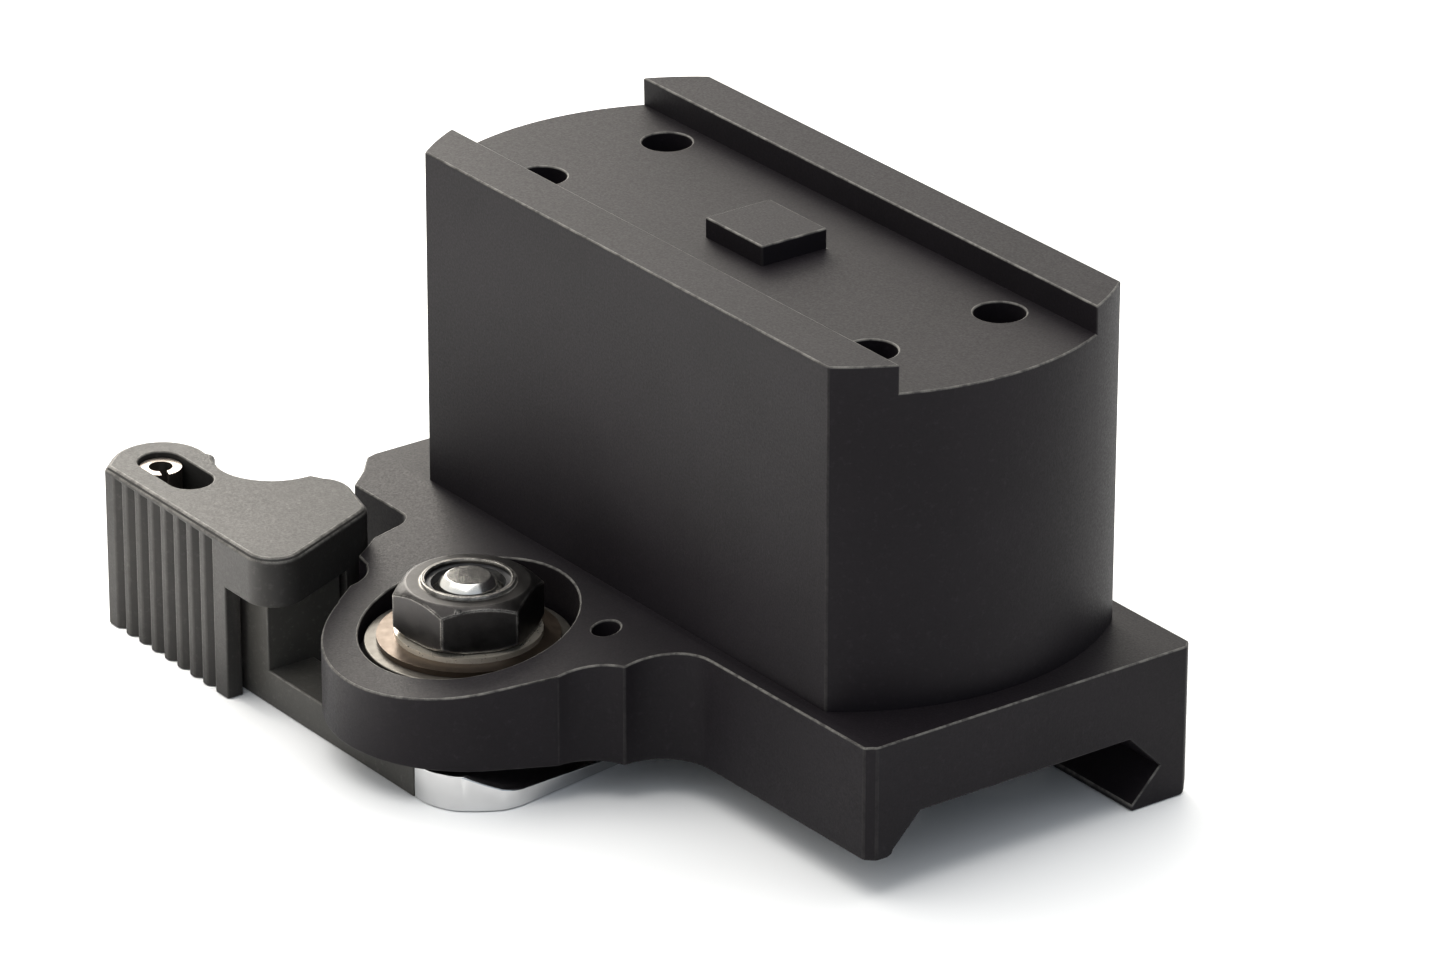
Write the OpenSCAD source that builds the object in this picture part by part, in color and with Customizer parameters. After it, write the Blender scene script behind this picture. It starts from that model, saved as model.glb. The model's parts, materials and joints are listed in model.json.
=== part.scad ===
// Quick-detach riser mount for a compact reflex sight.
// It clamps on an accessory rail with a throw lever and a sliding thumb latch.
// +X runs along the rail, +Y points at the fixed jaw, +Z is up.
// The origin is the middle of the face that rests on the rail.

/* [Riser block] */

// width of the riser block
block_w = 22.7; // [21:0.1:24]
// length of the riser block at its corners
block_l = 43; // [42:0.5:46]
// how far the rounded ends stand out past the corners
end_bulge = 4; // [3:0.25:5]
// height of the sight seat above the rail
seat_z = 26.5; // [22:0.5:36]
// height of the two side walls above the sight seat
wall_h = 1.87; // [1:0.1:2.5]
// thickness of the side walls
wall_t = 3.72; // [2.5:0.1:4]

/* [Sight screws and recoil lug] */

// distance between sight screws along the rail
screw_dx = 35; // [34:0.1:36]
// distance between sight screws across the rail
screw_dy = 10; // [9:0.1:11]
// diameter of the sight screw holes
screw_d = 3.3; // [3:0.1:3.6]
// diameter of the screw head bores from below
head_bore_d = 6.2; // [5.5:0.1:6.6]
// thickness left between the head bores and the seat
head_floor = 3.5; // [2.5:0.1:6]
// recoil lug length, width and height
lug = [6.04, 5.12, 1.36];

/* [Rail base] */

// thickness of the base above the rail seat
base_t = 5.26; // [4.5:0.1:6.5]
// front end of the base
base_x1 = 27.4; // [27:0.1:30]
// rear end of the base
base_x0 = -27.1; // [-29:0.1:-27]
// outer face of the fixed jaw
jaw_y = 13.2; // [13:0.1:14.5]
// how far the fixed jaw hangs below the rail seat
jaw_drop = 5.08; // [4.9:0.02:5.4]
// half width of the rail seat
seat_half = 8.14; // [8.1:0.02:8.2]
// half width of the rail groove at its widest
groove_half = 10.64; // [10.6:0.02:10.7]

/* [Clamp] */

// radius of the nut boss
boss_r = 9.4; // [9.2:0.1:9.8]
// radius of the nut pocket
pocket_r = 7.05; // [6.9:0.05:7.3]
// floor of the nut pocket above the rail seat
pocket_floor = 1.4; // [1.3:0.05:1.5]
// diameter of the clamp stud
stud_d = 4.8; // [4.6:0.1:4.9]
// distance across the corners of the lock nut
nut_corner_d = 9.8; // [9:0.1:9.8]

/* [Hidden] */

$fn = 96;
clear = 0.1;
over = 1;

stud_x = -5.1;
stud_y = -19.6;
stud_r = stud_d / 2;
tip_r = 1.93;
tip_z = 6.8;
head_r = 3.6;
head_h = 0.6;
thread_z = 6;
washer_r = 6.7;
washer_t = 1;
spring_washer_r = 5.9;
spring_washer_t = 0.36;
cone_slope = 0.04;
cone_gap = 0.02;
nut_top = 6.43;
insert_r = 2.75;
insert_t = 0.6;
stop_pin_r = 0.9;
floor_z = -jaw_drop;

near_drop = 2.5;
boss_slope = 0.186;
slope_y = -11.9;

// pieces under the boss
arm_top = -near_drop - 0.15;
hub_r = 6.8;
hub_z = -3.85;
thrust_r = 5.1;
thrust_z = arm_top - 0.3;
thrust_t = 0.42;
foot_z = floor_z + 0.03;
foot_top = arm_top;
foot_r = 9.7;
foot_cam_r = 10.25;
foot_cam_shift = 0.65;
foot_near = 7.2;
arm_y0 = -26.85;
arm_y1 = -23.3;
post_y1 = -21.2;
arm_end = 4.2;
square_w = 4.2;

// thumb latch
post_x0 = -20.7;
post_x1 = -17.4;
tongue_x = -34.2;
tongue_y0 = -27.3;
tongue_y1 = -23.2;
tongue_z0 = -3.9;
latch_y0 = -28.6;
latch_z0 = 2.85;
latch_z1 = 6.3;
latch_x1 = -21;
block_y1 = -21.5;
strip_x = -19.6;
tooth_y0 = -20.9;
tooth_z0 = -2.4;
groove_x0 = -32.35;
groove_x1 = -21.55;
groove_count = 8;
pin_x = -32.4;
pin_y = -25.2;
pin_r = 1.4;
slot_x1 = -28.8;
slot_r = 1.5;
pin_z0 = tongue_z0 + 0.8;
pin_h = 9;
spring_z = 1.35;
spring_r = 0.8;
spring_wire = 0.35;
spring_w = 2 * spring_r + spring_wire;
spring_end = -25.9;
spring_lug = 1.4;

function unit(a) = [cos(a), sin(a)];

// the straight part of a belt round two circles
module belt(a, ra, b, rb) {
    d = b - a;
    way = atan2(d.y, d.x);
    turn = acos((ra - rb) / norm(d));
    polygon([a + ra * unit(way + turn), a + ra * unit(way - turn),
             b + rb * unit(way - turn), b + rb * unit(way + turn)]);
}

module disc(c, r) {
    translate(c)
        circle(r = r);
}

module on_stud(z) {
    translate([stud_x, stud_y, z])
        children();
}

module slab(x0, x1, y0, y1, z0, z1) {
    translate([x0, y0, z0])
        cube([x1 - x0, y1 - y0, z1 - z0]);
}

module ring(outer, inner, h) {
    difference() {
        cylinder(r = outer, h = h);
        translate([0, 0, -over])
            cylinder(r = inner, h = h + 2 * over);
    }
}

// ---- mount body ----

module riser_cap(side, h) {
    bulge_r = (pow(block_w / 2, 2) + pow(end_bulge, 2)) / (2 * end_bulge);
    intersection() {
        translate([side * (block_l / 2 + end_bulge - bulge_r), 0, 0])
            cylinder(r = bulge_r, h = h, $fn = 180);
        translate([-block_l, -block_w / 2, 0])
            cube([2 * block_l, block_w, h]);
    }
}

module riser() {
    h = seat_z + wall_h;
    inner = block_w / 2 - wall_t;
    difference() {
        union() {
            translate([-block_l / 2, -block_w / 2, 0])
                cube([block_l, block_w, h]);
            riser_cap(1, h);
            riser_cap(-1, h);
        }
        slab(-block_l, block_l, -inner, inner, seat_z, h + over);
    }
    translate([-lug.x / 2, -lug.y / 2, seat_z - over])
        cube([lug.x, lug.y, lug.z + over]);
}

// plan of the base: the notch and ear for the latch are on the left,
// the boss blends into the near side on the right
module base_plan() {
    c = 0.6;
    notch_y = -15.08;
    notch_r = 1;
    ear_x = -18.2;
    blend_x = 11.25;
    difference() {
        polygon([
            [base_x1 - c, jaw_y], [base_x0 + c, jaw_y], [base_x0, jaw_y - c],
            [base_x0, -12.5], [-25.8, -13.7], [-24.8, notch_y],
            [ear_x - notch_r, notch_y], [ear_x, notch_y - notch_r],
            [ear_x, -18], [-17.6, -19], [-17.1, -19.95], [-15.8, -20.2],
            [-13.5, -24], [stud_x, stud_y - 8], [3.42, -23.57],
            [5.2, -20], [8.7, -18.5], [blend_x, -16.5], [blend_x, -12.6],
            [base_x1 - c, -12.4], [base_x1, -12.4 + c], [base_x1, jaw_y - c]]);
        disc([ear_x - notch_r, notch_y - notch_r], notch_r);
        disc([-16.2, -22], 1.75);
        disc([8.65, -19.85], 3.45);
        disc([blend_x, -16.25], 3.65);
    }
}

module base_section() {
    boss_y = -32;
    jaw_chamfer = 0.7;
    lip = seat_half + 0.26;
    polygon([
        [jaw_y + over, base_t],
        [slope_y, base_t],
        [boss_y, base_t + boss_slope * (boss_y - slope_y)],
        [boss_y, -near_drop],
        [-10.95, -near_drop],
        [-10.6, -near_drop + 0.12],
        [-10.45, -near_drop + 0.45],
        [-8.4, 0],
        [seat_half, 0],
        [groove_half, seat_half - groove_half],
        [lip, seat_half - 2 * groove_half + lip],
        [lip, -jaw_drop],
        [jaw_y - jaw_chamfer, -jaw_drop],
        [jaw_y, -jaw_drop + jaw_chamfer],
        [jaw_y + over, -jaw_drop + jaw_chamfer + over]]);
}

module rail_base() {
    span = base_x1 - base_x0 + 2 * over;
    intersection() {
        union() {
            translate([0, 0, -jaw_drop - over])
                linear_extrude(height = jaw_drop + base_t + 2 * over)
                    base_plan();
            on_stud(-jaw_drop - over)
                cylinder(r = boss_r, h = jaw_drop + base_t + 2 * over);
        }
        translate([base_x0 - over, 0, 0])
            rotate([90, 0, 90])
                linear_extrude(height = span)
                    base_section();
    }
}

module sight_screw_bores() {
    for (x = [-1, 1], y = [-1, 1])
        translate([x * screw_dx / 2, y * screw_dy / 2, 0]) {
            translate([0, 0, -over])
                cylinder(d = head_bore_d, h = seat_z - head_floor + over);
            cylinder(d = screw_d, h = seat_z + over);
        }
}

module stop_pin_place() {
    translate([2.9, -14.6, 0])
        children();
}

module mount_body() {
    color("#2b2b2e")
        difference() {
            union() {
                riser();
                rail_base();
            }
            sight_screw_bores();
            on_stud(pocket_floor)
                cylinder(r = pocket_r, h = 2 * base_t);
            on_stud(-2 * near_drop)
                cylinder(r = stud_r + clear, h = 4 * near_drop);
            stop_pin_place()
                translate([0, 0, -2 * near_drop])
                    cylinder(r = stop_pin_r, h = 4 * base_t);
        }
}

// ---- lever ----

module arm_bar() {
    slab(post_x0, stud_x + arm_end, arm_y0, arm_y1, floor_z, arm_top);
}

module drive_square(z0, z1) {
    on_stud(z0)
        translate([-square_w / 2, -square_w / 2, 0])
            cube([square_w, square_w, z1 - z0]);
}

module lever_arm() {
    slot_half = spring_w / 2 + 0.15;
    color("#1f1f21")
        difference() {
            union() {
                arm_bar();
                on_stud(hub_z)
                    cylinder(r = hub_r, h = arm_top - hub_z);
                slab(post_x0, post_x1, arm_y0, post_y1, floor_z, latch_z0 - clear);
                slab(tongue_x, post_x0, tongue_y0, tongue_y1,
                     tongue_z0, latch_z0 - clear);
            }
            drive_square(floor_z - over, arm_top + over);
            on_stud(thrust_z)
                cylinder(r = thrust_r + clear, h = over);
            slab(tongue_x - over, spring_end + spring_lug + 0.5, pin_y - slot_half,
                 pin_y + slot_half, spring_z - slot_half, latch_z0 + over);
            translate([pin_x, pin_y, pin_z0])
                cylinder(r = pin_r, h = pin_h);
        }
}

// two offset discs, cut flat on the near side and on the right, with a round corner between
module foot_plan() {
    reach = 20;
    cam_turn = 100;
    flat_turn = 8;
    flat_reach = 8.85;
    corner_r = 4.6;
    corner_y = corner_r - foot_near;
    corner_x = (flat_reach - corner_r - corner_y * sin(flat_turn)) / cos(flat_turn);
    flat_start = corner_y + corner_r * sin(flat_turn);
    intersection() {
        union() {
            circle(r = foot_r);
            disc(foot_cam_shift * unit(cam_turn), foot_cam_r);
        }
        translate([-reach, -foot_near])
            square([2 * reach, foot_near + reach]);
        rotate(flat_turn)
            translate([-reach, -reach])
                square([reach + flat_reach, 2 * reach]);
        union() {
            translate([-reach, -reach])
                square([reach + corner_x, 2 * reach]);
            translate([-reach, flat_start])
                square([2 * reach, reach]);
            disc([corner_x, corner_y], corner_r + 0.02);
        }
    }
}

// the sloping relief on the side away from the handle
module foot_relief() {
    relief_turn = 15;
    relief_reach = 5.96;
    relief_drop = 0.51;
    rotate([0, 0, relief_turn])
        translate([relief_reach, 20, foot_top])
            rotate([90, 0, 0])
                linear_extrude(height = 40)
                    polygon([[0, 0], [10, -10 * relief_drop], [10, 1], [0, 1]]);
}

// the bevel that bears on the underside of the rail
module foot_cone() {
    reach = 6.235;
    rotate_extrude()
        polygon([[0, foot_z - over], [reach - foot_z + over, foot_z - over],
                 [reach - foot_top, foot_top], [0, foot_top]]);
}

module cam_foot() {
    arm_gap = 0.02;
    color("#c9cacc")
        difference() {
            intersection() {
                on_stud(foot_z)
                    linear_extrude(height = foot_top - foot_z)
                        foot_plan();
                union() {
                    on_stud(0)
                        foot_cone();
                    on_stud(foot_z)
                        slab(-12, 12, -12, 2, -over, 3);
                }
            }
            on_stud(0)
                foot_relief();
            on_stud(hub_z)
                cylinder(r = hub_r, h = 3);
            slab(post_x0, stud_x + arm_end + arm_gap, arm_y0 - over, arm_y1 + arm_gap,
                 floor_z - over, 0);
            drive_square(floor_z - over, 0);
            on_stud(foot_z - over)
                cylinder(r = head_r, h = over + head_h);
        }
}

module clamp_stud() {
    chamfer = 0.48;
    color("#d4d4d2") {
        on_stud(0)
            rotate_extrude()
                polygon([[0, thrust_z], [stud_r, thrust_z],
                         [stud_r, thread_z - stud_r + tip_r], [tip_r, thread_z],
                         [tip_r, tip_z - chamfer], [tip_r - chamfer, tip_z],
                         [0, tip_z]]);
        drive_square(foot_z + head_h, thrust_z);
        on_stud(foot_z)
            cylinder(r = head_r, h = head_h);
    }
}

module thrust_washer() {
    color("#b8a878")
        on_stud(thrust_z)
            ring(thrust_r, stud_r, thrust_t);
}

// ---- nut stack ----

module flat_washer() {
    color("#c6c5c0")
        on_stud(pocket_floor)
            ring(washer_r, stud_r + clear, washer_t);
}

// a coned spring washer; two of them nest, because their slopes are the same
module coned_washer(outer) {
    inner = stud_r + cone_gap;
    low = cone_slope * (spring_washer_r - inner);
    high = cone_slope * (spring_washer_r - outer);
    rotate_extrude()
        polygon([[inner, low], [outer, high], [outer, high + spring_washer_t],
                 [inner, low + spring_washer_t]]);
}

module spring_washer_lower() {
    color("#8d7448")
        on_stud(pocket_floor + washer_t + cone_gap)
            coned_washer(spring_washer_r);
}

module spring_washer_upper() {
    color("#d8d0bc")
        on_stud(pocket_floor + washer_t + cone_gap + spring_washer_t)
            coned_washer(spring_washer_r - 1.15);
}

module lock_nut() {
    stack_rise = cone_slope * (spring_washer_r - stud_r) + 2 * cone_gap;
    bottom = pocket_floor + washer_t + 2 * spring_washer_t + stack_rise;
    top = nut_top;
    collar_r = 3.05;
    collar_top = 6.65;
    corner_r = nut_corner_d / 2;
    out_r = corner_r + 0.3;
    top_r = 4;
    bottom_r = 4.3;
    fall = tan(32);
    nut_turn = 5;
    color("#3a3a3b")
        difference() {
            union() {
                intersection() {
                    on_stud(bottom)
                        rotate([0, 0, nut_turn])
                            cylinder(r = corner_r, h = top - bottom, $fn = 6);
                    on_stud(0)
                        rotate_extrude()
                            polygon([[0, bottom - over], [bottom_r - over / fall, bottom - over],
                                     [out_r, bottom + (out_r - bottom_r) * fall],
                                     [out_r, top - (out_r - top_r) * fall],
                                     [top_r - over / fall, top + over], [0, top + over]]);
                }
                on_stud(top - over)
                    cylinder(r = collar_r, h = collar_top - top + over);
            }
            on_stud(bottom - over)
                cylinder(r = stud_r, h = 10);
            on_stud(top - insert_t - 0.1)
                cylinder(r = insert_r, h = 2);
        }
}

module nut_insert() {
    color("#1b1c1e")
        on_stud(nut_top - insert_t - 0.1)
            ring(insert_r, stud_r, insert_t);
}

module stop_pin() {
    color("#77787a")
        stop_pin_place()
            translate([0, 0, -near_drop])
                cylinder(r = stop_pin_r, h = 5.6);
}

// ---- thumb latch ----

// top outline: round outer end, waist, and a nose that drops behind the ear
module latch_plan() {
    end = [-32.45, -25.2];
    end_r = 3.35;
    nose_r = [2.3, 1.6, 2.05, 3];
    nose = [[-22.4, -19.5], [-19.4, -19.6], [-16.9, latch_y0 + nose_r[2]],
            [-21.5, latch_y0 + nose_r[3]]];
    difference() {
        union() {
            disc(end, end_r);
            for (i = [0:3]) {
                k = (i + 1) % 4;
                disc(nose[i], nose_r[i]);
                belt(nose[i], nose_r[i], nose[k], nose_r[k]);
            }
            polygon(nose);
            polygon([[-33.9, latch_y0], [strip_x, latch_y0], nose[3], nose[0],
                     nose[0] + nose_r[0] * unit(135), end + end_r * unit(80), end,
                     end + end_r * unit(225)]);
        }
        disc([-28.9, -18.6], 3.9);
    }
}

module latch_block() {
    intersection() {
        translate([0, 0, floor_z])
            linear_extrude(height = latch_z1 - floor_z)
                latch_plan();
        union() {
            slab(-40, latch_x1, -30, block_y1, floor_z, latch_z1);
            slab(-40, strip_x, -30, tongue_y0 - clear, floor_z, latch_z1);
            slab(-40, -10, -30, -10, latch_z0, latch_z1);
            slab(-40, -10, tooth_y0, -10, tooth_z0, latch_z1);
        }
    }
}

// the thumb grooves stop short of the top
module latch_grooves() {
    pitch = (groove_x1 - groove_x0) / (groove_count - 1);
    half = 0.5;
    depth = 0.5;
    groove_top = latch_z1 - 0.55;
    for (i = [0:groove_count - 1])
        translate([groove_x0 + i * pitch, latch_y0, floor_z - over])
            linear_extrude(height = groove_top - floor_z + over)
                polygon([[-half, -over], [half, -over], [half, 0],
                         [0, depth], [-half, 0]]);
}

module latch_slot() {
    for (x = [pin_x, slot_x1])
        translate([x, pin_y, latch_z0 - over])
            cylinder(r = slot_r, h = 6);
    slab(pin_x, slot_x1, pin_y - slot_r, pin_y + slot_r, latch_z0 - over, 8);
}

module thumb_latch() {
    color("#1c1c1e") {
        difference() {
            latch_block();
            slab(tongue_x - 0.2, 0, tongue_y0 - clear, tongue_y1 + clear,
                 tongue_z0 - clear, latch_z0);
            latch_grooves();
            latch_slot();
        }
        slab(spring_end, spring_end + spring_lug, pin_y - spring_w / 2,
             pin_y + spring_w / 2, spring_z - spring_w / 2, latch_z0 + 0.5);
    }
}

// a coil spring along +Z from the origin, as one closed tube
module coil(coil_r, wire_r, length, turns) {
    sides = 8;
    steps = 14 * turns;
    points = [for (i = [0:steps], j = [0:sides - 1])
        let (a = 360 * turns * i / steps, b = 360 * j / sides,
             r = coil_r + wire_r * cos(b))
        [r * cos(a), r * sin(a), length * i / steps + wire_r * sin(b)]];
    walls = [for (i = [0:steps - 1], j = [0:sides - 1])
        let (k = (j + 1) % sides, p = i * sides, q = p + sides)
        each [[p + j, p + k, q + k], [p + j, q + k, q + j]]];
    first_cap = [for (j = [sides - 1:-1:0]) j];
    last_cap = [for (j = [0:sides - 1]) steps * sides + j];
    polyhedron(points, concat(walls, [first_cap, last_cap]));
}

module latch_spring() {
    rest = spring_wire / 2 + 0.03;
    start = pin_x + pin_r + rest;
    end = spring_end - rest;
    color("#b5b7b9")
        translate([start, pin_y, spring_z])
            rotate([0, 90, 0])
                coil(spring_r, spring_wire / 2, end - start, 6);
}

// a slotted spring pin
module latch_pin() {
    bore_r = 0.8;
    slit = 0.5;
    slit_turn = -20;
    color("#cfd0d2")
        translate([pin_x, pin_y, pin_z0])
            difference() {
                ring(pin_r, bore_r, pin_h);
                rotate([0, 0, slit_turn])
                    translate([0, -slit / 2, -over])
                        cube([2 * pin_r, slit, pin_h + 2 * over]);
            }
}

mount_body();
lever_arm();
cam_foot();
clamp_stud();
thrust_washer();
flat_washer();
spring_washer_lower();
spring_washer_upper();
lock_nut();
nut_insert();
stop_pin();
thumb_latch();
latch_spring();
latch_pin();
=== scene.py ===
import json
import math

import bmesh
import bpy
from mathutils import Matrix, Vector

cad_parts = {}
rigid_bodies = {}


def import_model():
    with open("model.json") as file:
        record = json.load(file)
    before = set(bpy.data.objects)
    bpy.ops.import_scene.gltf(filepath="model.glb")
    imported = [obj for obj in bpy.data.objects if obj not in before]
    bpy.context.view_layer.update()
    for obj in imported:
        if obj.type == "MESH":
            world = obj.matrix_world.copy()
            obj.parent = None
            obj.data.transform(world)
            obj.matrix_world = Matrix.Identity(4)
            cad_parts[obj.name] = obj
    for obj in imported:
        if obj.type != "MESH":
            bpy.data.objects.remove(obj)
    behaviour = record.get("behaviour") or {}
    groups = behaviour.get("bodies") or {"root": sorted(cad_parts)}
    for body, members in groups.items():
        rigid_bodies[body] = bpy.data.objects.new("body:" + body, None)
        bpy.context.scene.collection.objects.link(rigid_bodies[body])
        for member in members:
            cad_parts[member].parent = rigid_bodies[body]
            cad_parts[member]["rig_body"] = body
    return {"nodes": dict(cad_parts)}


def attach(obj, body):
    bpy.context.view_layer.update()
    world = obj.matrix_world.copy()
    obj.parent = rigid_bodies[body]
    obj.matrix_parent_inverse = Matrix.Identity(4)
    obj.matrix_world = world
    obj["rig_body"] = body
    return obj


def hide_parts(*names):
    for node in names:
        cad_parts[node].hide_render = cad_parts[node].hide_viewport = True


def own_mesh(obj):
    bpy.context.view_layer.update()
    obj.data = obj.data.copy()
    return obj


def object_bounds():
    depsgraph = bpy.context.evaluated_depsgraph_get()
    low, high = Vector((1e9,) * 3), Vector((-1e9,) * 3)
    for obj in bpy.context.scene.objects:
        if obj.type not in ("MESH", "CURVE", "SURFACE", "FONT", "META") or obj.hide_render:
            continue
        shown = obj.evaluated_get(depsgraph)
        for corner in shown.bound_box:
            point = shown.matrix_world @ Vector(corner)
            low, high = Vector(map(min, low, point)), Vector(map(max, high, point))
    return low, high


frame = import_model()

CAD_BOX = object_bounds()

MM = 0.001


# ---- node helpers ----

def rgb(r, g, b):
    return (r, g, b, 1.0)


def shade(tint, factor):
    """A tint made darker or lighter."""
    return rgb(*[c * factor for c in tint])


def new_material(name):
    """A material with an empty node tree."""
    mat = bpy.data.materials.new(name)
    mat.use_nodes = True
    mat.node_tree.nodes.clear()
    return mat


class Tree:
    """Short calls for building the nodes of a material or a world."""

    def __init__(self, owner):
        self.nodes = owner.node_tree.nodes
        self.links = owner.node_tree.links
        self.coords = self.add("ShaderNodeTexCoord")

    def add(self, kind, **props):
        node = self.nodes.new(kind)
        for key, value in props.items():
            setattr(node, key, value)
        return node

    def put(self, socket, value):
        """Links an output to the socket, or sets a constant on it."""
        if isinstance(value, bpy.types.NodeSocket):
            self.links.new(value, socket)
        else:
            socket.default_value = value

    def noise(self, size_mm, detail=4.0, roughness=0.55, stretch=(1, 1, 1), shift=(0, 0, 0)):
        """Noise with features of about size_mm, from 0 to 1."""
        mapping = self.add("ShaderNodeMapping")
        mapping.inputs["Scale"].default_value = stretch
        mapping.inputs["Location"].default_value = shift
        self.put(mapping.inputs["Vector"], self.coords.outputs["Object"])
        node = self.add("ShaderNodeTexNoise")
        self.put(node.inputs["Vector"], mapping.outputs["Vector"])
        node.inputs["Scale"].default_value = 1.0 / (size_mm * MM)
        node.inputs["Detail"].default_value = detail
        node.inputs["Roughness"].default_value = roughness
        return node.outputs["Fac"]

    def math(self, operation, a, b):
        node = self.add("ShaderNodeMath", operation=operation)
        self.put(node.inputs[0], a)
        self.put(node.inputs[1], b)
        return node.outputs[0]

    def remap(self, value, low, high, to_low=0.0, to_high=1.0):
        """Stretches the range low to high over to_low to to_high, and stops at both ends."""
        node = self.add("ShaderNodeMapRange")
        self.put(node.inputs["Value"], value)
        node.inputs["From Min"].default_value = low
        node.inputs["From Max"].default_value = high
        node.inputs["To Min"].default_value = to_low
        node.inputs["To Max"].default_value = to_high
        return node.outputs["Result"]

    def mix(self, factor, a, b):
        """Colour a where the factor is 0, and colour b where it is 1."""
        node = self.add("ShaderNodeMix", data_type="RGBA")
        self.put(node.inputs["Factor"], factor)
        self.put(node.inputs["A"], a)
        self.put(node.inputs["B"], b)
        return node.outputs["Result"]

    def edge_mask(self, radius_mm, low, high):
        """1 on sharp edges, 0 on flat faces; low and high are how far the normal has turned."""
        bevel = self.add("ShaderNodeBevel", samples=6)
        bevel.inputs["Radius"].default_value = radius_mm * MM
        geometry = self.add("ShaderNodeNewGeometry")
        dot = self.add("ShaderNodeVectorMath", operation="DOT_PRODUCT")
        self.put(dot.inputs[0], bevel.outputs["Normal"])
        self.put(dot.inputs[1], geometry.outputs["Normal"])
        turned = self.math("SUBTRACT", 1.0, dot.outputs["Value"])
        return self.remap(turned, low, high)

    def facing_up(self):
        """The upward share of the surface's direction."""
        geometry = self.add("ShaderNodeNewGeometry")
        split = self.add("ShaderNodeSeparateXYZ")
        self.put(split.inputs["Vector"], geometry.outputs["Normal"])
        return split.outputs["Z"]

    def bump(self, height, strength, distance_mm):
        node = self.add("ShaderNodeBump")
        node.inputs["Strength"].default_value = strength
        node.inputs["Distance"].default_value = distance_mm * MM
        self.put(node.inputs["Height"], height)
        return node.outputs["Normal"]

    def shader(self, color, roughness, normal=None, **constants):
        """The surface's shader; each constant is named after its socket."""
        node = self.add("ShaderNodeBsdfPrincipled")
        self.put(node.inputs["Base Color"], color)
        self.put(node.inputs["Roughness"], roughness)
        if normal is not None:
            self.put(node.inputs["Normal"], normal)
        for key, value in constants.items():
            node.inputs[key.replace("_", " ")].default_value = value
        output = self.add("ShaderNodeOutputMaterial")
        self.put(output.inputs["Surface"], node.outputs["BSDF"])


# ---- materials ----

def anodised(name, tint, edge_tint=None, grain=1.0, rough=0.52):
    """Bead-blasted hard anodising: fine grain and faint patches.

    With an edge tint it is the finish of a broken edge: lighter in random patches of rub, which is
    wear, and lighter where it faces up, which is a painted highlight.
    """
    mat = new_material(name)
    t = Tree(mat)
    patches = t.noise(9.0, detail=3.0)
    grit = t.noise(0.16, detail=2.0, roughness=0.7)
    speck = t.noise(0.45, detail=3.0, roughness=0.7, shift=(3, 1, 2))
    color = t.mix(t.remap(patches, 0.35, 0.65), shade(tint, 0.78), rgb(*tint))
    color = t.mix(t.remap(speck, 0.56, 0.74, to_high=0.75), color, shade(tint, 1.5))
    if edge_tint:
        rub = t.remap(t.noise(0.9, detail=5.0, roughness=0.7), 0.4, 0.6, to_low=0.3)
        # Painted highlight: the broken edge is made lighter where it faces up, as if lit from above;
        # the rub patches above are wear.
        up = t.remap(t.facing_up(), 0.1, 0.5, to_low=0.1)
        color = t.mix(t.math("MULTIPLY", rub, up), color, rgb(*edge_tint))
    roughness = t.remap(grit, 0.3, 0.7, to_low=rough - 0.07, to_high=rough + 0.09)
    height = t.math("ADD", grit, t.math("MULTIPLY", speck, 0.6))
    normal = t.bump(height, strength=0.35 * grain, distance_mm=0.02)
    t.shader(color, roughness, normal, Specular_IOR_Level=0.13)
    return mat


def polished_steel(name, tint, rough, brush=(1, 1, 1), streak_mm=1.2, metallic=1.0):
    """Bright steel with fine lay lines; a dull plated one is less metallic."""
    mat = new_material(name)
    t = Tree(mat)
    lay = t.noise(streak_mm, detail=5.0, roughness=0.65, stretch=brush)
    cloud = t.noise(3.5, detail=3.0)
    color = t.mix(t.remap(cloud, 0.3, 0.7), shade(tint, 0.8), rgb(*tint))
    roughness = t.remap(lay, 0.3, 0.7, to_low=rough * 0.85, to_high=rough * 1.25)
    normal = t.bump(lay, strength=0.15, distance_mm=0.006)
    t.shader(color, roughness, normal, Metallic=metallic)
    return mat


def black_oxide(name, tint, edge_tint, rough=0.34):
    """Oil-blacked steel that is rubbed bright on its edges."""
    mat = new_material(name)
    t = Tree(mat)
    smear = t.noise(1.8, detail=5.0, roughness=0.7)
    grit = t.noise(0.2, detail=3.0)
    edges = t.edge_mask(0.3, low=0.01, high=0.12)
    rubbed = t.math("MULTIPLY", edges, t.remap(smear, 0.35, 0.6))
    color = t.mix(t.remap(smear, 0.4, 0.75, to_high=0.55), rgb(*tint), shade(tint, 2.2))
    color = t.mix(rubbed, color, rgb(*edge_tint))
    roughness = t.remap(smear, 0.3, 0.7, to_low=rough - 0.08, to_high=rough + 0.12)
    normal = t.bump(grit, strength=0.3, distance_mm=0.015)
    t.shader(color, roughness, normal, Metallic=0.85)
    return mat


def nylon(name):
    """Black nylon, a little uneven in tone and gloss."""
    mat = new_material(name)
    t = Tree(mat)
    tone = t.noise(0.8)
    color = t.mix(t.remap(tone, 0.35, 0.65), rgb(0.012, 0.012, 0.013), rgb(0.03, 0.03, 0.032))
    roughness = t.remap(tone, 0.3, 0.7, to_low=0.35, to_high=0.5)
    normal = t.bump(tone, strength=0.2, distance_mm=0.02)
    t.shader(color, roughness, normal)
    return mat


def floor_material():
    """Matte white with hardly any variation."""
    mat = new_material("floor_white")
    t = Tree(mat)
    tone = t.noise(60.0, detail=2.0)
    color = t.mix(tone, rgb(0.86, 0.86, 0.86), rgb(0.88, 0.88, 0.88))
    t.shader(color, 0.55, Specular_IOR_Level=0.2)
    return mat


# ---- finished copies of CAD pieces ----

SHARP_TURN = math.radians(26.0)
FLAT_TURN = math.radians(0.4)
WELD_MM = 0.002
SAME_HEIGHT_MM = 0.01


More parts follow.
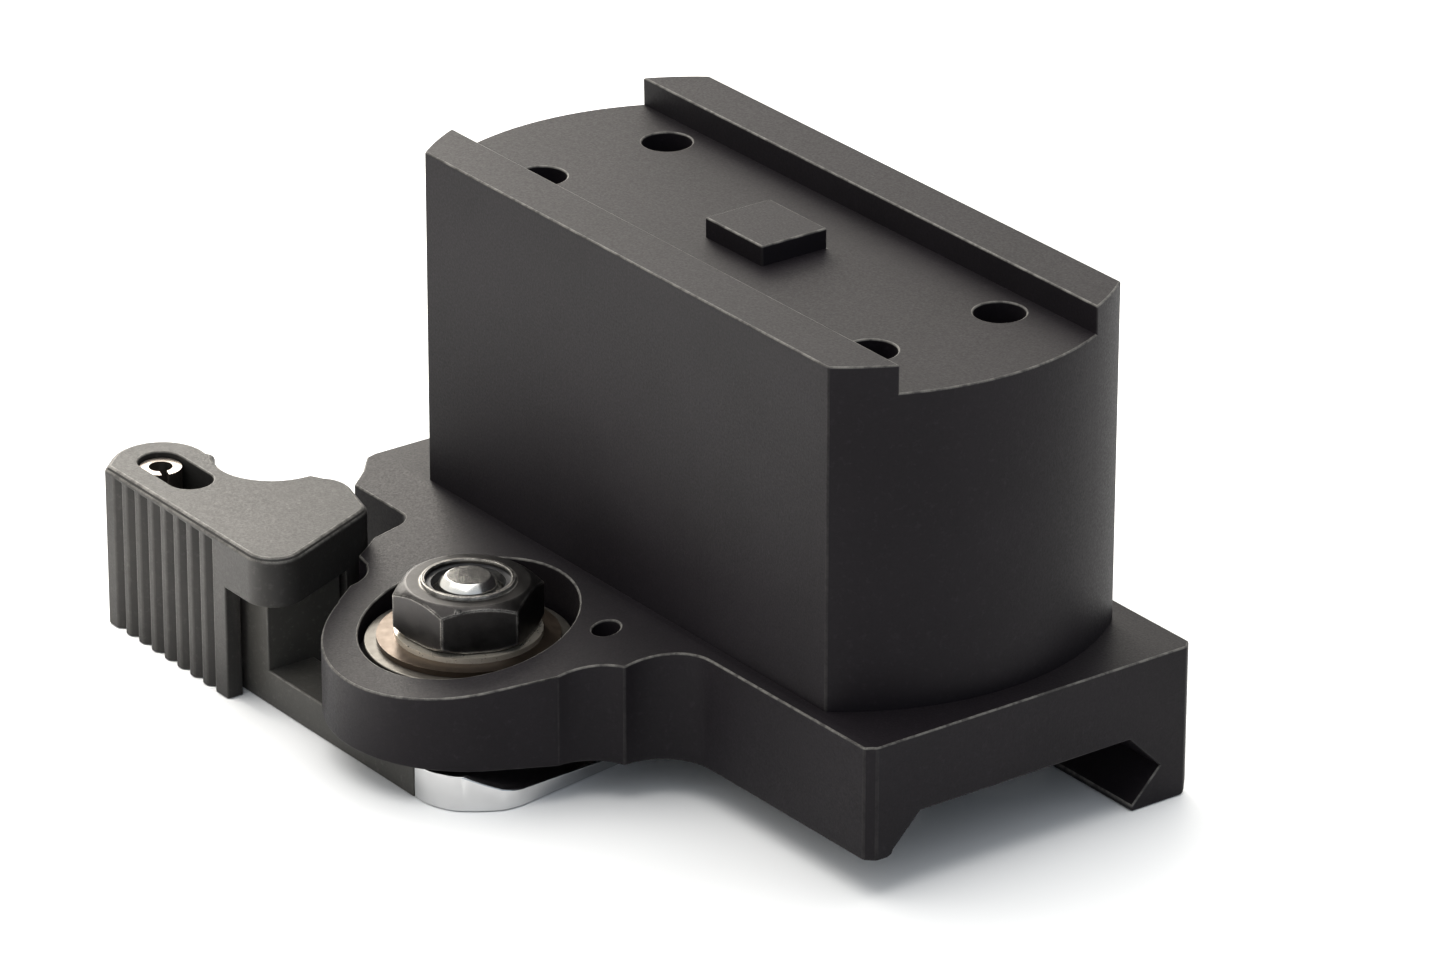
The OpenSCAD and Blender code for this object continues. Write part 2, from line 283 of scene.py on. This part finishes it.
def corners(bm):
    """The edges between two faces, each with its turn: above 0 outside, below 0 inside."""
    return [(edge, edge.calc_face_angle_signed()) for edge in bm.edges
            if len(edge.link_faces) == 2]


def outside_corners(bm):
    return [edge for edge, turn in corners(bm) if turn > SHARP_TURN]


def inside_corners(bm):
    return [edge for edge, turn in corners(bm) if turn < -SHARP_TURN]


def top_outline(bm):
    """The outer outline of the highest flat face, without the outlines of its holes."""
    top = max(v.co.z for v in bm.verts) - SAME_HEIGHT_MM * MM
    rim = [e for e in outside_corners(bm) if all(v.co.z > top for v in e.verts)]
    start = min((v for e in rim for v in e.verts), key=lambda v: v.co.x)
    reached = {start}
    outline = set()
    grew = True
    while grew:
        grew = False
        for edge in rim:
            if edge not in outline and reached.intersection(edge.verts):
                outline.add(edge)
                reached.update(edge.verts)
                grew = True
    return list(outline)


def stand_in(node, mesh):
    """A piece that takes a CAD node's place and moves with its body."""
    piece = bpy.data.objects.new(node + "_finish", mesh)
    bpy.context.scene.collection.objects.link(piece)
    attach(piece, frame["nodes"][node]["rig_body"])
    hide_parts(node)
    return piece


def deburred(node, width_mm, top_mm=0.0):
    """A copy of a CAD node with its outside corners broken, in its second material.

    The outline of the highest flat face gets a wider chamfer of top_mm, if one is given.
    """
    bm = bmesh.new()
    bm.from_mesh(frame["nodes"][node].data)
    bmesh.ops.remove_doubles(bm, verts=bm.verts, dist=WELD_MM * MM)
    bmesh.ops.dissolve_limit(bm, angle_limit=FLAT_TURN, verts=bm.verts, edges=bm.edges)
    if top_mm:
        bmesh.ops.bevel(bm, geom=top_outline(bm), offset=top_mm * MM, segments=1,
                        affect="EDGES", clamp_overlap=False)
    bmesh.ops.bevel(bm, geom=outside_corners(bm), offset=width_mm * MM, segments=2,
                    profile=0.5, affect="EDGES", clamp_overlap=False, material=1)
    for face in bm.faces:
        face.smooth = True
    for edge in inside_corners(bm):
        edge.smooth = False
    mesh = bpy.data.meshes.new(node + "_finish")
    bm.to_mesh(mesh)
    bm.free()
    piece = stand_in(node, mesh)
    normals = piece.modifiers.new("flat_faces_stay_flat", "WEIGHTED_NORMAL")
    normals.keep_sharp = True
    return piece


def shortening_spring():
    """A copy of the latch's coil spring with a mesh of its own, in the CAD shape; the real spring's
    end at the pin stays, and it shortens as the latch slides out.
    """
    node = "latch_spring"
    mesh = frame["nodes"][node].data.copy()
    mesh.materials.clear()
    spring = stand_in(node, mesh)
    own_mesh(spring)
    return spring


def paint(node, mat):
    """Shows a CAD node in one material."""
    obj = frame["nodes"][node]
    if not obj.material_slots:
        obj.data.materials.append(mat)
    for s in obj.material_slots:
        s.link = "OBJECT"
        s.material = mat


# ---- looks ----

BODY_TINT = (0.009, 0.0072, 0.009)
LATCH_TINT = (0.028, 0.0265, 0.025)
ARM_TINT = (0.055, 0.0525, 0.048)
# The broken edges' colour: rubbed wear, plus a painted highlight where the edges face up.
RUBBED_AND_HIGHLIT = (0.13, 0.124, 0.114)
PIN_LOOK = polished_steel("pin_steel", (0.33, 0.29, 0.26), 0.34, streak_mm=0.4)

LOOKS = {
    "mount_body": anodised("body_anodised", BODY_TINT, rough=0.5),
    "thumb_latch": anodised("latch_anodised", LATCH_TINT, rough=0.44),
    "lever_arm": anodised("arm_black", ARM_TINT, grain=0.7, rough=0.42),
    "cam_foot": polished_steel("foot_steel", (0.66, 0.66, 0.66), 0.17, brush=(1, 1, 8)),
    "clamp_stud": polished_steel("stud_steel", (0.7, 0.69, 0.66), 0.2, streak_mm=0.4),
    "thrust_washer": polished_steel("washer_bronze", (0.5, 0.38, 0.2), 0.35),
    "flat_washer": polished_steel("washer_steel", (0.15, 0.14, 0.125), 0.42, streak_mm=0.5),
    "spring_washer_lower": polished_steel("washer_brown", (0.11, 0.083, 0.063), 0.36,
                                          streak_mm=0.5),
    "spring_washer_upper": polished_steel("washer_cream", (0.78, 0.71, 0.6), 0.3,
                                          streak_mm=0.5, metallic=0.75),
    "lock_nut": black_oxide("nut_black", (0.016, 0.0148, 0.0145), (0.7, 0.67, 0.62)),
    "nut_insert": nylon("insert_nylon"),
    "stop_pin": PIN_LOOK,
    "latch_pin": PIN_LOOK,
    "latch_spring": polished_steel("spring_steel", (0.55, 0.55, 0.55), 0.28, streak_mm=0.3),
}
# Materials for the broken edges: rubbed wear, with a painted highlight on their upward faces.
EDGE_LOOKS = {
    "mount_body": anodised("body_edge", BODY_TINT, RUBBED_AND_HIGHLIT, rough=0.5),
    "thumb_latch": anodised("latch_edge", LATCH_TINT, RUBBED_AND_HIGHLIT, rough=0.44),
    "lever_arm": anodised("arm_edge", ARM_TINT, RUBBED_AND_HIGHLIT, grain=0.7, rough=0.42),
}
DEBURR_MM = {
    "mount_body": 0.13,
    "thumb_latch": 0.13,
    "lever_arm": 0.12,
    "cam_foot": 0.08,
    "lock_nut": 0.07,
    "flat_washer": 0.1,
    "clamp_stud": 0.06,
}
TOP_CHAMFER_MM = {"thumb_latch": 0.28}

FINISHED = {node: deburred(node, width, TOP_CHAMFER_MM.get(node, 0.0))
            for node, width in DEBURR_MM.items()}
FINISHED["latch_spring"] = shortening_spring()
for node_name, look in LOOKS.items():
    if node_name in FINISHED:
        finish = FINISHED[node_name]
        finish.data.materials.append(look)
        finish.data.materials.append(EDGE_LOOKS.get(node_name, look))
    else:
        paint(node_name, look)


# ---- stage ----

FLOOR_REACH = 1.5
FLOOR_GAP_MM = 0.02


def add_floor():
    """A wide white floor, just under the lowest point."""
    z = CAD_BOX[0][2] - FLOOR_GAP_MM * MM
    outline = [(x * FLOOR_REACH, y * FLOOR_REACH, z)
               for x, y in [(-1, -1), (1, -1), (1, 1), (-1, 1)]]
    mesh = bpy.data.meshes.new("floor")
    mesh.from_pydata(outline, [], [(0, 1, 2, 3)])
    mesh.materials.append(floor_material())
    floor = bpy.data.objects.new("floor", mesh)
    bpy.context.scene.collection.objects.link(floor)


def add_light(name, place, target, size, power, color):
    """A square light that faces its target."""
    data = bpy.data.lights.new(name, "AREA")
    data.shape = "SQUARE"
    data.size = size
    data.energy = power
    data.color = color
    light = bpy.data.objects.new(name, data)
    light.location = place
    aim = Vector(target) - Vector(place)
    light.rotation_euler = aim.to_track_quat("-Z", "Y").to_euler()
    bpy.context.scene.collection.objects.link(light)


def add_floor_spot(name, centre, height, radius, power, color):
    """A spot straight down that whitens a patch of floor, which then lights the near side."""
    data = bpy.data.lights.new(name, "SPOT")
    data.energy = power
    data.color = color
    data.spot_size = 2.0 * math.atan(radius / height)
    data.spot_blend = 0.6
    data.shadow_soft_size = 0.01
    light = bpy.data.objects.new(name, data)
    light.location = (centre[0], centre[1], CAD_BOX[0][2] + height)
    bpy.context.scene.collection.objects.link(light)


def add_lights():
    """A large key light above, and smaller ones behind and beside the handle."""
    add_light("key", place=(-0.12, -0.02, 0.6), target=(0, 0, 0),
              size=0.7, power=4.0, color=(1.0, 0.98, 0.95))
    add_light("back", place=(-0.5, 0.25, 0.42), target=(0, 0, 0.01),
              size=0.45, power=0.9, color=(1.0, 0.93, 0.82))
    add_light("side", place=(-0.2, 0.04, 0.1), target=(-0.03, -0.02, 0.0),
              size=0.1, power=0.35, color=(1.0, 0.95, 0.87))
    add_floor_spot("bounce", centre=(-0.034, -0.06), height=0.3, radius=0.031,
                   power=18.0, color=(1.0, 0.97, 0.92))


def add_world():
    """Soft studio light: warm and bright on the handle's side, cool and dim on the jaw's end."""
    world = bpy.data.worlds.new("studio")
    world.use_nodes = True
    t = Tree(world)
    split = t.add("ShaderNodeSeparateXYZ")
    t.put(split.inputs["Vector"], t.coords.outputs["Generated"])
    toward_jaw_end = t.remap(split.outputs["X"], -1.0, 1.0)
    color = t.mix(toward_jaw_end, rgb(1.3, 1.27, 1.19), rgb(0.38, 0.44, 0.52))
    background = t.nodes["Background"]
    t.put(background.inputs["Color"], color)
    background.inputs["Strength"].default_value = 1.1
    bpy.context.scene.world = world


def add_camera():
    """A long lens off the jaw's end, on the lever's side and a little above."""
    place = Vector((366.92, -274.22, 217.14)) * MM
    azimuth = math.radians(53.522)
    elevation = math.radians(24.37)
    roll = math.radians(0.143)
    back = Vector((math.sin(azimuth) * math.cos(elevation),
                   -math.cos(azimuth) * math.cos(elevation),
                   math.sin(elevation)))
    right = Vector((math.cos(azimuth), math.sin(azimuth), 0.0))
    up = back.cross(right)
    turned_right = right * math.cos(roll) + up * math.sin(roll)
    turned_up = up * math.cos(roll) - right * math.sin(roll)
    data = bpy.data.cameras.new("camera")
    data.sensor_fit = "HORIZONTAL"
    data.sensor_width = 36.0
    data.lens = 194.192
    data.clip_start = 0.01
    data.clip_end = 20.0
    camera = bpy.data.objects.new("camera", data)
    turn = Matrix((turned_right, turned_up, back)).transposed().to_4x4()
    camera.matrix_world = Matrix.Translation(place) @ turn
    bpy.context.scene.collection.objects.link(camera)
    bpy.context.scene.camera = camera


add_floor()
add_world()
add_lights()
add_camera()

bpy.context.scene.view_settings.view_transform = "Standard"
